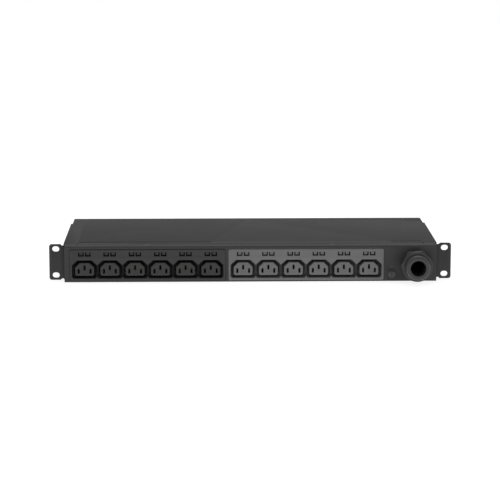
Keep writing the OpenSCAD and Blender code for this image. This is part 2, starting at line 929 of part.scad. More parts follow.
// Rubber sleeve that closes on the cord
module gland_seal_sleeve() {
    start = hex_front + 1.2;
    color(rubber_black) gland_turned() {
        translate([seal_bore_r, start]) square([seal_r - seal_bore_r - 0.1, finger_end - 0.2 - start]);
    }
}

// Slip ring that slides with the dome nut while the nut turns round it
module gland_slip_ring() {
    color(natural_nylon) gland_turned() {
        translate([9.3, ring_s[0]]) square([front_thread_r - 0.35 - 9.3, ring_s[1] - ring_s[0]]);
    }
}

// Dome nut: a round skirt with a wider rim, and a domed front with the cord opening
module gland_dome_nut() {
    r = dome_d / 2;
    hole_r = dome_hole_d / 2;
    edge_s = 24.6;
    edge_r = 0.8;
    step = 0.6;
    skirt_r = r - 1.9;
    rim_s = edge_s - 3.6;
    dome_r = r - edge_r - step;
    flat_r = 11.5;
    dome_h = nut_front - edge_s;
    arc = [for (a = [0 : 7.5 : 90])
        [flat_r + (dome_r - flat_r) * cos(a), edge_s + dome_h * sin(a)]];
    color(black_plastic) difference() {
        gland_turned() {
            polygon(concat([[0, nut_back], [skirt_r - 0.8, nut_back], [skirt_r, nut_back + 0.8],
                [skirt_r, rim_s], [r, rim_s + 1.2], [r, edge_s - edge_r], [r - edge_r, edge_s]], arc,
                [[0, nut_front]]));
            translate([r - edge_r, edge_s - edge_r]) circle(r = edge_r);
        }
        gland_turned() {
            translate([0, nut_back - 1])
                square([front_thread_r + thread_play, nut_inner - nut_back + 1]);
            translate([0, nut_inner - 1]) square([hole_r, nut_front - nut_inner + 2]);
            polygon([[0, nut_front - 0.8], [hole_r, nut_front - 0.8], [hole_r + 0.9, nut_front + 0.1],
                [0, nut_front + 0.1]]);
        }
    }
}

// Earth screw: slotted head and thread
module earth_screw() {
    head_y = front_y - 1;
    head_t = 2.4;
    color(dark_zinc) difference() {
        union() {
            rod_y(earth_x, earth_z, 3.7, head_y - head_t, head_y);
            rod_y(earth_x, earth_z, 2, head_y - 1, panel_back_y + 4.5);
        }
        block([earth_x - 0.7, head_y - head_t - 1, earth_z - 5], [earth_x + 0.7, head_y - 0.8, earth_z + 5]);
    }
}

// Washer under the earth screw's head
module earth_washer() {
    color(dark_zinc) difference() {
        rod_y(earth_x, earth_z, 4.8, front_y - 1, front_y);
        rod_y(earth_x, earth_z, 2.08, front_y - 2, front_y + 1);
    }
}

// Clinch nut of the earth screw, set in the front panel
module earth_clinch_nut() {
    color(zinc) difference() {
        union() {
            rod_y(earth_x, earth_z, 2.7, front_y + 0.05, panel_back_y + 0.1);
            rod_y(earth_x, earth_z, 4.2, panel_back_y, panel_back_y + 3);
        }
        rod_y(earth_x, earth_z, 2.05, front_y - 1, panel_back_y + 4);
    }
}

// Earth stud welded into the floor
module chassis_stud() {
    color(zinc) {
        translate([stud_x, stud_y, -half_h]) cylinder(r = stud_r, h = 15);
        translate([stud_x, stud_y, sheet_top]) cylinder(r = 4, h = 1);
    }
}

// Nut that holds the ring lug on the stud
module stud_nut() {
    color(zinc) translate([stud_x, stud_y, sheet_top + 2]) difference() {
        cylinder(r = 4 / cos(30), h = 4, $fn = 6);
        translate([0, 0, -1]) cylinder(r = stud_r + 0.05, h = 6);
    }
}

// Ring lug at the end of the bonding lead
module bond_lug() {
    color(zinc) difference() {
        union() {
            translate([stud_x, stud_y, sheet_top + 1]) cylinder(r = 5, h = 1);
            block([stud_x - 3, stud_y + 3, sheet_top + 1], [stud_x + 1, stud_y + 10, sheet_top + 2]);
            rod_y(stud_x - 1, -16, 2.4, stud_y + 9, stud_y + 16);
            block([stud_x - 3, stud_y + 9, sheet_top + 1], [stud_x + 1, stud_y + 16, -16]);
        }
        translate([stud_x, stud_y, sheet_top]) cylinder(r = stud_r + 0.05, h = 4);
        rod_y(stud_x - 1, -16, wire_r + 0.05, stud_y + 10, stud_y + 20);
    }
}

// Bonding lead from the terminal block's earth pole to the lug
module bond_lead() {
    color(green) wire(bond_route, wire_r);
}

base_tray();
top_cover();
cover_rail();
cover_screws();
left_rack_ear();
right_rack_ear();
ear_screws();
ear_clinch_nuts();
left_bezel();
left_outlet_cores();
left_housing();
left_back_cover();
left_line_bar();
left_neutral_bar();
left_earth_bar();
right_bezel();
right_outlet_cores();
right_housing();
right_back_cover();
right_line_bar();
right_neutral_bar();
right_earth_bar();
spade_terminals();
line_lead();
neutral_lead();
earth_lead();
line_link();
neutral_link();
earth_link();
terminal_block();
terminal_sleeves();
terminal_screws();
block_screws();
insulating_sheet();
gland_body();
gland_face_seal();
gland_locknut();
gland_seal_sleeve();
gland_slip_ring();
gland_dome_nut();
earth_screw();
earth_washer();
earth_clinch_nut();
chassis_stud();
stud_nut();
bond_lug();
bond_lead();
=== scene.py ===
"""Visual model of a one-unit rack power strip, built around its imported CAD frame.

Metres; X runs along the front, Y from the front into the rack, Z up. The origin is the centre of the four
rack slots, on the front plane of the ears.
"""

import json
import logging
import math
from collections.abc import Iterable, Sequence
from dataclasses import dataclass
from enum import Enum

import bpy
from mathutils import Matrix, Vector

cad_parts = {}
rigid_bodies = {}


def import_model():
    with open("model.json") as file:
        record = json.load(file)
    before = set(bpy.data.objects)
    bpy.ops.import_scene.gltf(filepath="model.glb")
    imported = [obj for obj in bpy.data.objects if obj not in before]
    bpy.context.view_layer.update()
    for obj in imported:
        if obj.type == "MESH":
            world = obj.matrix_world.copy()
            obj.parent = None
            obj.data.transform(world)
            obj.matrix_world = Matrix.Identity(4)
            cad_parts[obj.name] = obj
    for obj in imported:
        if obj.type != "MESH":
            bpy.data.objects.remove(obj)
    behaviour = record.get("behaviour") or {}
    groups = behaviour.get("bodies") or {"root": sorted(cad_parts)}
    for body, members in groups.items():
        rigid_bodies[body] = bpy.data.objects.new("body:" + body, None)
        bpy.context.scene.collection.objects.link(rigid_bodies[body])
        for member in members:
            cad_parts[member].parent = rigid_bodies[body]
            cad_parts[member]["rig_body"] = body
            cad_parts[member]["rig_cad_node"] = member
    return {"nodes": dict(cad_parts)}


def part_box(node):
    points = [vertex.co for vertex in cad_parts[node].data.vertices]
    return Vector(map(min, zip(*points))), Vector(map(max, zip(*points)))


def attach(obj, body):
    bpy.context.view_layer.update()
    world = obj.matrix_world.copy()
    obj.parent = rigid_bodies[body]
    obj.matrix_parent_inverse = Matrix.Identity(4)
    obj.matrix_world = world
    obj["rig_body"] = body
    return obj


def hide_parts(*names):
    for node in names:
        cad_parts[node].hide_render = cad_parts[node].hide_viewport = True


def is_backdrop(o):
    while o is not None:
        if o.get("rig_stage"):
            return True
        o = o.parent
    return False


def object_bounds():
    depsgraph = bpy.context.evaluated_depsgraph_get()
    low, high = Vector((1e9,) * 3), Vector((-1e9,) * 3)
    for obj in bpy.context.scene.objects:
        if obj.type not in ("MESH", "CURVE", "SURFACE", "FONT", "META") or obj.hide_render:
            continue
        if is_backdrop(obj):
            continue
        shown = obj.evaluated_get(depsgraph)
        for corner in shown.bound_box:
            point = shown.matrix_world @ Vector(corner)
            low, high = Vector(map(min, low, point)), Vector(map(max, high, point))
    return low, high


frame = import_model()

LOG = logging.getLogger("power_strip")
MM = 0.001
TURN = 2 * math.pi

Piece = bpy.types.Object
Colour = tuple[float, float, float]
Point = tuple[float, float, float]


class Body(Enum):
    """Bodies of the frame that pieces ride on."""

    STRIP = "strip"
    SLIP_RING = "slip_ring"
    DOME_NUT = "dome_nut"


class Axis(Enum):
    """Axes that round pieces are spun with: X points outward, Y is the turning axis."""

    X = (1.0, 0.0, 0.0)
    Y = (0.0, 1.0, 0.0)


# ---------------------------------------------------------------- finishes


class Palette:
    """Node tree of one material, with the few node chains that the finishes share."""

    def __init__(self, name: str) -> None:
        """Starts a material with one shader.

        Args:
            name: Name of the material.
        """
        self.material = bpy.data.materials.new(name)
        self.material.use_nodes = True
        self.tree = self.material.node_tree
        self.tree.nodes.clear()
        self.shader = self.tree.nodes.new("ShaderNodeBsdfPrincipled")
        output = self.tree.nodes.new("ShaderNodeOutputMaterial")
        self.tree.links.new(self.shader.outputs["BSDF"], output.inputs["Surface"])
        self.place = self.tree.nodes.new("ShaderNodeTexCoord").outputs["Object"]

    def fix(self, socket: str, value: float | Sequence[float]) -> None:
        """Sets one of the shader's own sockets to a constant."""
        self.shader.inputs[socket].default_value = value

    def noise(
        self, cell: float, detail: float = 3.0, stretch: Point = (1.0, 1.0, 1.0)
    ) -> bpy.types.NodeSocket:
        """Adds a cloudy pattern on object coordinates.

        Args:
            cell: Size of one blot, in metres.
            detail: How many finer layers it has.
            stretch: How much finer it is along each axis.

        Returns:
            The pattern's value, from 0 to 1.
        """
        mapping = self.tree.nodes.new("ShaderNodeMapping")
        mapping.inputs["Scale"].default_value = stretch
        self.tree.links.new(self.place, mapping.inputs["Vector"])
        pattern = self.tree.nodes.new("ShaderNodeTexNoise")
        pattern.inputs["Scale"].default_value = 1 / cell
        pattern.inputs["Detail"].default_value = detail
        self.tree.links.new(mapping.outputs["Vector"], pattern.inputs["Vector"])
        return pattern.outputs["Fac"]

    def pebbles(self, cell: float) -> bpy.types.NodeSocket:
        """Adds a pebbled pattern of the given cell size on object coordinates."""
        pattern = self.tree.nodes.new("ShaderNodeTexVoronoi")
        pattern.feature = "SMOOTH_F1"
        pattern.inputs["Scale"].default_value = 1 / cell
        self.tree.links.new(self.place, pattern.inputs["Vector"])
        return pattern.outputs["Distance"]

    def spread(self, value: bpy.types.NodeSocket, low: float, high: float) -> bpy.types.NodeSocket:
        """Maps the middle of a pattern's values onto a range.

        Args:
            value: The pattern.
            low: Result for its dark blots.
            high: Result for its bright blots.

        Returns:
            The mapped value.
        """
        node = self.tree.nodes.new("ShaderNodeMapRange")
        node.inputs["From Min"].default_value = 0.3
        node.inputs["From Max"].default_value = 0.7
        node.inputs["To Min"].default_value = low
        node.inputs["To Max"].default_value = high
        self.tree.links.new(value, node.inputs["Value"])
        return node.outputs["Result"]

    def tint(self, share: bpy.types.NodeSocket, first: Colour, second: Colour) -> bpy.types.NodeSocket:
        """Blends two colours by a pattern.

        Args:
            share: Share of the second colour.
            first: Colour where the share is 0.
            second: Colour where the share is 1.

        Returns:
            The blended colour.
        """
        node = self.tree.nodes.new("ShaderNodeMix")
        node.data_type = "RGBA"
        colour_a, colour_b = [s for s in node.inputs if s.type == "RGBA"]
        colour_a.default_value = (*first, 1.0)
        colour_b.default_value = (*second, 1.0)
        self.tree.links.new(share, node.inputs["Factor"])
        return next(s for s in node.outputs if s.type == "RGBA")

    def relief(self, height: bpy.types.NodeSocket, depth: float, strength: float = 1.0) -> None:
        """Adds a bump on top of those that the shader has.

        Args:
            height: Pattern that gives the height.
            depth: Height of the pattern's relief, in metres.
            strength: Share of the relief that shows.
        """
        node = self.tree.nodes.new("ShaderNodeBump")
        node.inputs["Distance"].default_value = depth
        node.inputs["Strength"].default_value = strength
        self.tree.links.new(height, node.inputs["Height"])
        if self.shader.inputs["Normal"].is_linked:
            before = self.shader.inputs["Normal"].links[0].from_socket
            self.tree.links.new(before, node.inputs["Normal"])
        self.tree.links.new(node.outputs["Normal"], self.shader.inputs["Normal"])

    def drive(self, socket: str, value: bpy.types.NodeSocket) -> None:
        """Links a pattern to one of the shader's sockets."""
        self.tree.links.new(value, self.shader.inputs[socket])


def shade(colour: Colour, share: float) -> Colour:
    """Returns a colour made lighter or darker by a share."""
    return tuple(min(1.0, channel * (1 + share)) for channel in colour)


@dataclass(frozen=True)
class PowderCoat:
    """Fine-textured powder coat on sheet steel."""

    slot: str
    colour: Colour
    roughness: float = 0.6
    specular: float = 0.3
    grain: float = 0.55 * MM
    cloud: float = 60 * MM

    def make(self, name: str) -> bpy.types.Material:
        """Makes the material: orange-peel grain, faint clouds in colour and gloss."""
        mix = Palette(name)
        clouds = mix.noise(self.cloud, 4)
        speckle = mix.noise(self.grain * 0.6, 2)
        colour = mix.tint(mix.spread(speckle, 0, 1), shade(self.colour, -0.07), shade(self.colour, 0.07))
        mix.drive("Base Color", colour)
        mix.drive("Roughness", mix.spread(clouds, self.roughness - 0.015, self.roughness + 0.015))
        mix.relief(mix.pebbles(self.grain), 0.012 * MM, 0.55)
        mix.relief(mix.noise(self.grain * 9, 2), 0.02 * MM, 0.2)
        mix.fix("Specular IOR Level", self.specular)
        return mix.material


@dataclass(frozen=True)
class MouldedPlastic:
    """Injection-moulded plastic with a spark-eroded mould texture."""

    slot: str
    colour: Colour
    roughness: float = 0.5
    grain: float = 0.28 * MM
    relief: float = 0.008 * MM
    specular: float = 0.3

    def make(self, name: str) -> bpy.types.Material:
        """Makes the material: fine mould grain, flow clouds and uneven gloss."""
        mix = Palette(name)
        flow = mix.noise(14 * MM, 3, (0.4, 1.0, 1.0))
        colour = mix.tint(mix.spread(flow, 0, 1), shade(self.colour, -0.05), shade(self.colour, 0.05))
        gloss = mix.spread(mix.noise(5 * MM, 4), self.roughness - 0.05, self.roughness + 0.06)
        mix.drive("Base Color", colour)
        mix.drive("Roughness", gloss)
        mix.relief(mix.noise(self.grain, 4), self.relief, 0.6)
        mix.fix("Specular IOR Level", self.specular)
        return mix.material


@dataclass(frozen=True)
class Rubber:
    """Matt moulded rubber with a dusty bloom."""

    slot: str
    colour: Colour

    def make(self, name: str) -> bpy.types.Material:
        """Makes the material: pale bloom in patches, pebbled skin."""
        mix = Palette(name)
        bloom = mix.spread(mix.noise(3 * MM, 5), 0, 1)
        mix.drive("Base Color", mix.tint(bloom, self.colour, shade(self.colour, 0.5)))
        mix.drive("Roughness", mix.spread(mix.noise(1.2 * MM, 3), 0.72, 0.9))
        mix.relief(mix.pebbles(0.22 * MM), 0.01 * MM, 0.7)
        mix.fix("Specular IOR Level", 0.2)
        return mix.material


@dataclass(frozen=True)
class PlatedMetal:
    """Rolled or plated metal with fine drawing lines."""

    slot: str
    colour: Colour
    roughness: float
    lines: Point

    def make(self, name: str) -> bpy.types.Material:
        """Makes the material: drawing lines, tarnish clouds and uneven gloss."""
        mix = Palette(name)
        tarnish = mix.spread(mix.noise(4 * MM, 5), 0, 1)
        drawn = mix.noise(0.5 * MM, 3, self.lines)
        mix.drive("Base Color", mix.tint(tarnish, shade(self.colour, -0.18), shade(self.colour, 0.06)))
        mix.drive("Roughness", mix.spread(drawn, self.roughness - 0.09, self.roughness + 0.12))
        mix.relief(drawn, 0.006 * MM, 0.5)
        mix.fix("Metallic", 1.0)
        return mix.material


@dataclass(frozen=True)
class BlackedSteel:
    """Screws blacked by passivation, with a trace of oil."""

    slot: str
    colour: Colour
    roughness: float = 0.38

    def make(self, name: str) -> bpy.types.Material:
        """Makes the material: oily patches over a fine crystalline skin."""
        mix = Palette(name)
        oil = mix.spread(mix.noise(0.9 * MM, 4), 0, 1)
        mix.drive("Base Color", mix.tint(oil, self.colour, shade(self.colour, 0.45)))
        gloss = mix.spread(mix.noise(0.7 * MM, 3), self.roughness - 0.08, self.roughness + 0.1)
        mix.drive("Roughness", gloss)
        mix.relief(mix.noise(0.12 * MM, 2), 0.004 * MM, 0.6)
        mix.fix("Metallic", 0.35)
        return mix.material


@dataclass(frozen=True)
class Insulation:
    """Extruded wire insulation, with a lengthwise stripe where it has one."""

    slot: str
    colour: Colour
    stripe: Colour | None = None

    def make(self, name: str) -> bpy.types.Material:
        """Makes the material: extrusion ripple, and the stripe on the wire's upper side."""
        mix = Palette(name)
        ripple = mix.noise(1.5 * MM, 3)
        plain = mix.tint(mix.spread(ripple, 0, 1), shade(self.colour, -0.08), shade(self.colour, 0.08))
        if self.stripe is None:
            mix.drive("Base Color", plain)
        else:
            mix.drive("Base Color", self._striped(mix, plain))
        mix.drive("Roughness", mix.spread(ripple, 0.34, 0.5))
        mix.relief(ripple, 0.02 * MM, 0.4)
        return mix.material

    def _striped(self, mix: Palette, plain: bpy.types.NodeSocket) -> bpy.types.NodeSocket:
        """Lays the stripe over the plain colour where the surface looks up.

        Args:
            mix: The material's palette.
            plain: Colour beside the stripe.

        Returns:
            The striped colour.
        """
        facing = mix.tree.nodes.new("ShaderNodeTexCoord").outputs["Normal"]
        parts = mix.tree.nodes.new("ShaderNodeSeparateXYZ")
        mix.tree.links.new(facing, parts.inputs["Vector"])
        edge = mix.tree.nodes.new("ShaderNodeMapRange")
        edge.inputs["From Min"].default_value = 0.45
        edge.inputs["From Max"].default_value = 0.55
        mix.tree.links.new(parts.outputs["Z"], edge.inputs["Value"])
        node = mix.tree.nodes.new("ShaderNodeMix")
        node.data_type = "RGBA"
        colour_a, colour_b = [s for s in node.inputs if s.type == "RGBA"]
        mix.tree.links.new(plain, colour_a)
        colour_b.default_value = (*self.stripe, 1.0)
        mix.tree.links.new(edge.outputs["Result"], node.inputs["Factor"])
        return next(s for s in node.outputs if s.type == "RGBA")


@dataclass(frozen=True)
class NaturalNylon:
    """Uncoloured nylon, slightly translucent."""

    slot: str
    colour: Colour

    def make(self, name: str) -> bpy.types.Material:
        """Makes the material: milky flow clouds with a little light inside."""
        mix = Palette(name)
        milk = mix.spread(mix.noise(6 * MM, 3), 0, 1)
        mix.drive("Base Color", mix.tint(milk, shade(self.colour, -0.06), shade(self.colour, 0.05)))
        mix.drive("Roughness", mix.spread(mix.noise(2 * MM, 3), 0.38, 0.5))
        mix.relief(mix.noise(0.4 * MM, 3), 0.01 * MM, 0.5)
        mix.fix("Subsurface Weight", 0.15)
        mix.fix("Subsurface Radius", (1.2 * MM, 1.0 * MM, 0.8 * MM))
        mix.fix("Subsurface Scale", 1.0)
        return mix.material


@dataclass(frozen=True)
class PaintedMark:
    """Pad-printed ink, thin and slightly worn."""

    slot: str
    colour: Colour

    def make(self, name: str) -> bpy.types.Material:
        """Makes the material: ink that thins out in small specks."""
        mix = Palette(name)
        specks = mix.spread(mix.noise(0.35 * MM, 4), 0, 1)
        mix.drive("Base Color", mix.tint(specks, shade(self.colour, -0.25), self.colour))
        mix.drive("Roughness", mix.spread(specks, 0.5, 0.65))
        return mix.material


DRAWN_ALONG_X = (0.05, 1.0, 1.0)
EVEN_GRAIN = (1.0, 1.0, 1.0)


class Finishes(Enum):
    """Every finish of the strip."""

    CHASSIS = PowderCoat("chassis_paint", (0.035, 0.035, 0.0362))
    EARS = PowderCoat("ear_paint", (0.036, 0.036, 0.0372))
    DARK_FACE = MouldedPlastic("dark_bezel", (0.034, 0.034, 0.035))
    GREY_FACE = MouldedPlastic("grey_bezel", (0.135, 0.135, 0.135))
    HOUSING = MouldedPlastic("black_housing", (0.035, 0.035, 0.036), 0.6)
    # A darker copy of the grey face plastic: painted shade for the latch tongues and recesses seen through
    # the grey face.
    GREY_HOUSING = MouldedPlastic("grey_housing", (0.11, 0.11, 0.11), 0.6)
    GLAND = MouldedPlastic("gland_nylon", (0.034, 0.034, 0.035), 0.36, 0.2 * MM, 0.004 * MM, 0.4)
    SEAL = Rubber("black_rubber", (0.008, 0.008, 0.008))
    # Brass colour kept well below bright brass: painted shade for the contacts that sit deep in the socket
    # slots.
    BRASS = PlatedMetal("contact_brass", (0.34, 0.25, 0.11), 0.4, DRAWN_ALONG_X)
    ZINC = PlatedMetal("zinc_plate", (0.62, 0.63, 0.65), 0.34, EVEN_GRAIN)
    BLACKED = BlackedSteel("black_screw", (0.045, 0.045, 0.047))
    BROWN = Insulation("brown_wire", (0.10, 0.045, 0.02))
    BLUE = Insulation("blue_wire", (0.02, 0.09, 0.35))
    GREEN = Insulation("green_wire", (0.03, 0.22, 0.05), (0.75, 0.62, 0.05))
    NYLON = NaturalNylon("natural_nylon", (0.78, 0.76, 0.67))
    FILM = MouldedPlastic("insulating_film", (0.62, 0.58, 0.42), 0.25, 0.5 * MM, 0.003 * MM)
    MARK = PaintedMark("chassis_paint", (0.075, 0.075, 0.077))

    def material(self) -> bpy.types.Material:
        """Returns the finish's material, made on first use."""
        name = self.name.lower()
        return bpy.data.materials.get(name) or self.value.make(name)


# ---------------------------------------------------------------- modelling


class Bench:
    """Modelling steps on one piece at a time, done with Blender's operators."""

    @staticmethod
    def take(piece: Piece) -> Piece:
        """Makes a piece the only selected and active one."""
        bpy.ops.object.select_all(action="DESELECT")
        piece.select_set(True)
        bpy.context.view_layer.objects.active = piece
        return piece

    @staticmethod
    def name(piece: Piece, name: str) -> Piece:
        """Names a piece and its mesh."""
        piece.name = piece.data.name = name
        return piece

    @staticmethod
    def copy_of(node: str, name: str) -> Piece:
        """Copies a frame node's mesh and joins its loose triangles into clean faces.

        Args:
            node: The node to copy.
            name: Name of the new piece.

        Returns:
            The new piece, riding on nothing yet.
        """
        Bench.take(frame["nodes"][node])
        bpy.ops.object.duplicate()
        piece = Bench.name(bpy.context.view_layer.objects.active, name)
        bpy.ops.object.parent_clear(type="CLEAR_KEEP_TRANSFORM")
        del piece["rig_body"], piece["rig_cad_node"]
        piece.data.materials.clear()
        bpy.ops.mesh.customdata_custom_splitnormals_clear()
        bpy.ops.object.mode_set(mode="EDIT")
        bpy.ops.mesh.select_all(action="SELECT")
        bpy.ops.mesh.remove_doubles(threshold=0.002 * MM)
        flat, any_shape = math.radians(0.4), math.radians(170)
        bpy.ops.mesh.tris_convert_to_quads(face_threshold=flat, shape_threshold=any_shape)
        bpy.ops.object.mode_set(mode="OBJECT")
        return piece

    @staticmethod
    def box(name: str, low: Sequence[float], high: Sequence[float]) -> Piece:
        """Adds a box from its lowest to its highest corner."""
        bpy.ops.object.select_all(action="DESELECT")
        low, high = Vector(low), Vector(high)
        bpy.ops.mesh.primitive_cube_add(size=1, location=(low + high) / 2, scale=high - low)
        bpy.ops.object.transform_apply(location=True, rotation=True, scale=True)
        return Bench.name(bpy.context.view_layer.objects.active, name)

    @staticmethod
    def soften(piece: Piece, width: float, segments: int = 2, angle: float = 30.0) -> Piece:
        """Rounds a piece's sharp edges and smooths its shading.

        Args:
            piece: The piece.
            width: Width of the rounding, in metres.
            segments: Faces across the rounding.
            angle: Edges sharper than this many degrees are rounded.

        Returns:
            The piece.
        """
        Bench.take(piece)
        bpy.ops.object.modifier_add(type="BEVEL")
        rounding = piece.modifiers[-1]
        rounding.width = width
        rounding.segments = segments
        rounding.limit_method = "ANGLE"
        rounding.angle_limit = math.radians(angle)
        rounding.miter_outer = "MITER_ARC"
        bpy.ops.object.modifier_apply(modifier=rounding.name)
        bpy.ops.object.shade_smooth_by_angle(angle=math.radians(35))
        return piece

    @staticmethod
    def spin(
        name: str, profile: Sequence[tuple[float, float]], centre: Vector, axis: Axis, steps: int
    ) -> Piece:
        """Turns a closed profile round an axis.

        Args:
            name: Name of the new piece.
            profile: Corners of the profile: radius and height along the axis, in metres.
            centre: Point on the axis where height is 0.
            axis: The turning axis.
            steps: Faces round the piece.

        Returns:
            The turned piece.
        """
        along = Vector(axis.value)
        out = Vector(Axis.X.value)
        points = [centre + out * radius + along * height for radius, height in profile]
        bpy.ops.object.select_all(action="DESELECT")
        bpy.ops.mesh.primitive_plane_add(size=MM, location=points[0])
        piece = Bench.name(bpy.context.view_layer.objects.active, name)
        bpy.ops.object.mode_set(mode="EDIT")
        bpy.ops.mesh.merge(type="CENTER")
        for before, after in zip(points, points[1:] + points[:1]):
            bpy.ops.mesh.extrude_region_move(TRANSFORM_OT_translate={"value": after - before})
        bpy.ops.mesh.select_all(action="SELECT")
        bpy.ops.mesh.remove_doubles(threshold=0.001 * MM)
        bpy.ops.mesh.select_all(action="SELECT")
        bpy.ops.mesh.spin(steps=steps, angle=TURN, center=centre, axis=along)
        bpy.ops.mesh.select_all(action="SELECT")
        bpy.ops.mesh.remove_doubles(threshold=0.001 * MM)
        bpy.ops.mesh.normals_make_consistent(inside=False)
        bpy.ops.object.mode_set(mode="OBJECT")
        bpy.ops.object.transform_apply(location=True, rotation=True, scale=True)
        bpy.ops.object.shade_smooth_by_angle(angle=math.radians(35))
        return piece

    @staticmethod
    def join(name: str, parts: Sequence[Piece]) -> Piece:
        """Joins parts into one piece."""
        Bench.take(parts[0])
        for part in parts[1:]:
            part.select_set(True)
        if len(parts) > 1:
            bpy.ops.object.join()
        return Bench.name(bpy.context.view_layer.objects.active, name)


def finish_piece(piece: Piece, finish: Finishes, body: Body, *nodes: str) -> Piece:
    """Gives a new piece its material and its body, and hides the frame nodes that it replaces.

    Args:
        piece: The piece.
        finish: Its finish.
        body: The body that it rides on.
        nodes: Frame nodes that it replaces.

    Returns:
        The piece.
    """
    piece.data.materials.clear()
    piece.data.materials.append(finish.material())
    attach(piece, body.value)
    if nodes:
        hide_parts(*nodes)
    LOG.info("%s: %d faces, %s", piece.name, len(piece.data.polygons), finish.name)
    return piece


def dress_node(node: str, finish: Finishes) -> Piece:
    """Gives a frame node that stays its material."""
    piece = frame["nodes"][node]
    if not piece.material_slots:
        piece.data.materials.append(finish.material())
    for slot in piece.material_slots:
        slot.material = finish.material()
    LOG.info("%s: dressed, %s", node, finish.name)
    return piece


def softened_copy(
    node: str, name: str, finish: Finishes, body: Body, width: float, segments: int = 2
) -> Piece:
    """Replaces a frame node by a copy with rounded edges.

    Args:
        node: The node.
        name: Name of the new piece.
        finish: Its finish.
        body: The body that it rides on.
        width: Width of the rounding, in metres.
        segments: Faces across the rounding.

    Returns:
        The new piece.
    """
    piece = Bench.soften(Bench.copy_of(node, name), width, segments)
    return finish_piece(piece, finish, body, node)


# ---------------------------------------------------------------- sub-assemblies


@dataclass
class Chassis:
    """Folded sheet metal box: tray, cover, rail behind the seam, and cover screws."""

    fold_rounding: float = 0.22 * MM
    screw_rounding: float = 0.12 * MM

    def build(self) -> list[Piece]:
        """Builds the box's pieces."""
        paint, strip = Finishes.CHASSIS, Body.STRIP
        return [
            softened_copy("base_tray", "folded_tray", paint, strip, self.fold_rounding),
            softened_copy("top_cover", "folded_cover", paint, strip, self.fold_rounding),
            softened_copy("cover_rail", "seam_rail", paint, strip, self.fold_rounding),
            softened_copy("cover_screws", "cross_screws", Finishes.BLACKED, strip, self.screw_rounding),
        ]


@dataclass
class RackEars:
    """The two L-shaped ears, their screws and clinch nuts."""

    rounding: float = 0.35 * MM
    screw_rounding: float = 0.15 * MM

    def build(self) -> list[Piece]:
        """Builds the ears and their fasteners."""
        black, strip = Finishes.BLACKED, Body.STRIP
        pieces = [
            softened_copy(f"{side}_rack_ear", f"{side}_ear_bracket", Finishes.EARS, strip, self.rounding, 3)
            for side in ("left", "right")
        ]
        pieces.append(softened_copy("ear_screws", "ear_cross_screws", black, strip, self.screw_rounding))
        pieces.append(dress_node("ear_clinch_nuts", Finishes.ZINC))
        return pieces


@dataclass
class OutletBank:
    """One bank of appliance outlets: face, cores, housing, rear cover and contact bars."""

    side: str
    face: Finishes
    housing: Finishes
    face_rounding: float = 0.25 * MM
    core_rounding: float = 0.45 * MM
    housing_rounding: float = 0.2 * MM

    def build(self) -> list[Piece]:
        """Builds the bank's pieces."""
        return [*self.plastics(), *self.contacts()]

    def plastics(self) -> list[Piece]:
        """Builds the moulded pieces, with rounded edges."""
        side, strip = self.side, Body.STRIP
        return [
            softened_copy(f"{side}_bezel", f"{side}_face_plate", self.face, strip, self.face_rounding),
            softened_copy(
                f"{side}_outlet_cores", f"{side}_socket_cores", self.face, strip, self.core_rounding, 3
            ),
            softened_copy(
                f"{side}_housing", f"{side}_socket_housing", self.housing, strip, self.housing_rounding
            ),
            softened_copy(
                f"{side}_back_cover", f"{side}_rear_cover", Finishes.HOUSING, strip, self.housing_rounding
            ),
        ]

    def contacts(self) -> list[Piece]:
        """Dresses the three contact bars."""
        poles = ("line", "neutral", "earth")
        return [dress_node(f"{self.side}_{pole}_bar", Finishes.BRASS) for pole in poles]


@dataclass
class Wiring:
    """Leads, spade terminals and the terminal block behind the banks."""

    rounding: float = 0.3 * MM

    def build(self) -> list[Piece]:
        """Builds the leads and dresses the terminals."""
        leads = {
            "line_lead": Finishes.BROWN,
            "line_link": Finishes.BROWN,
            "neutral_lead": Finishes.BLUE,
            "neutral_link": Finishes.BLUE,
            "earth_lead": Finishes.GREEN,
            "earth_link": Finishes.GREEN,
            "bond_lead": Finishes.GREEN,
        }
        pieces = [self.lead(node, finish) for node, finish in leads.items()]
        for node, name in (("spade_terminals", "spade_sleeves"), ("terminal_block", "three_pole_block")):
            pieces.append(softened_copy(node, name, Finishes.NYLON, Body.STRIP, self.rounding))
        pieces.append(dress_node("terminal_sleeves", Finishes.BRASS))
        pieces.append(dress_node("insulating_sheet", Finishes.FILM))
        for node in ("terminal_screws", "block_screws", "chassis_stud", "stud_nut", "bond_lug"):
            pieces.append(dress_node(node, Finishes.ZINC))
        return pieces

    def lead(self, node: str, finish: Finishes) -> Piece:
        """Replaces a lead by a copy with a smooth round skin."""
        piece = Bench.copy_of(node, f"{node}_wire")
        bpy.ops.object.shade_smooth_by_angle(angle=math.radians(60))
        return finish_piece(piece, finish, Body.STRIP, node)


